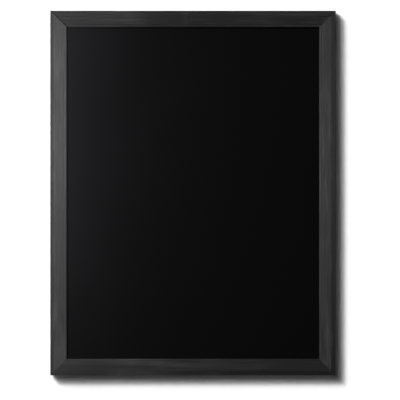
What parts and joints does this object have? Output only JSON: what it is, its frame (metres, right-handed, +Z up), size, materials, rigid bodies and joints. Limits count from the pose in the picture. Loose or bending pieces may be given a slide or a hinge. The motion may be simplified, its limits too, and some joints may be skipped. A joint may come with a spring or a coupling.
{
  "type": "wall chalkboard",
  "caption": "Upright wall chalkboard: a mitred black wood frame round a smooth black writing panel, hung by strap hangers with swinging rings on its back.",
  "frame": {"origin": "on the wall's face, behind the middle of the board, level with the pads' faces", "axes": "+Z up, +Y towards the wall, +X to the right of a viewer who faces the board"},
  "size_m": [0.7, 0.0251, 0.894],
  "materials": {
    "stained_wood": "black stain, open grain, matt",
    "chalk_surface": "smooth, matt",
    "hardboard": "raw pressed fibre",
    "spring_steel": "bare",
    "zinc_plate": "bright zinc plate",
    "rubber": "matt"
  },
  "bodies": {
    "frame": {"top_rail": "stained_wood", "bottom_rail": "stained_wood", "left_stile": "stained_wood", "right_stile": "stained_wood", "chalk_sheet": "chalk_surface", "hardboard_panel": "hardboard", "corner_nail_top_left_1": "spring_steel", "corner_nail_top_left_2": "spring_steel", "corner_nail_top_right_1": "spring_steel", "corner_nail_top_right_2": "spring_steel", "corner_nail_bottom_left_1": "spring_steel", "corner_nail_bottom_left_2": "spring_steel", "corner_nail_bottom_right_1": "spring_steel", "corner_nail_bottom_right_2": "spring_steel", "panel_point_top_1": "spring_steel", "panel_point_top_2": "spring_steel", "panel_point_top_3": "spring_steel", "panel_point_bottom_1": "spring_steel", "panel_point_bottom_2": "spring_steel", "panel_point_bottom_3": "spring_steel", "panel_point_left_1": "spring_steel", "panel_point_left_2": "spring_steel", "panel_point_left_3": "spring_steel", "panel_point_left_4": "spring_steel", "panel_point_right_1": "spring_steel", "panel_point_right_2": "spring_steel", "panel_point_right_3": "spring_steel", "panel_point_right_4": "spring_steel", "left_hanger_strap": "zinc_plate", "left_hanger_screw_upper": "zinc_plate", "left_hanger_screw_lower": "zinc_plate", "right_hanger_strap": "zinc_plate", "right_hanger_screw_upper": "zinc_plate", "right_hanger_screw_lower": "zinc_plate", "wall_pad_top_left": "rubber", "wall_pad_top_right": "rubber", "wall_pad_bottom_left": "rubber", "wall_pad_bottom_right": "rubber"},
    "left_ring": {"left_hanger_ring": "zinc_plate"},
    "right_ring": {"right_hanger_ring": "zinc_plate"}
  },
  "joints": [
    {"name": "left_ring_swing", "type": "hinge", "parent": "frame", "child": "left_ring", "pos_m": [-0.3335, -0.00315, 0.327], "axis": [-1, 0, 0], "range_deg": [-3, 175]},
    {"name": "right_ring_swing", "type": "hinge", "parent": "frame", "child": "right_ring", "pos_m": [0.3335, -0.00315, 0.327], "axis": [-1, 0, 0], "range_deg": [-3, 175]}
  ]
}
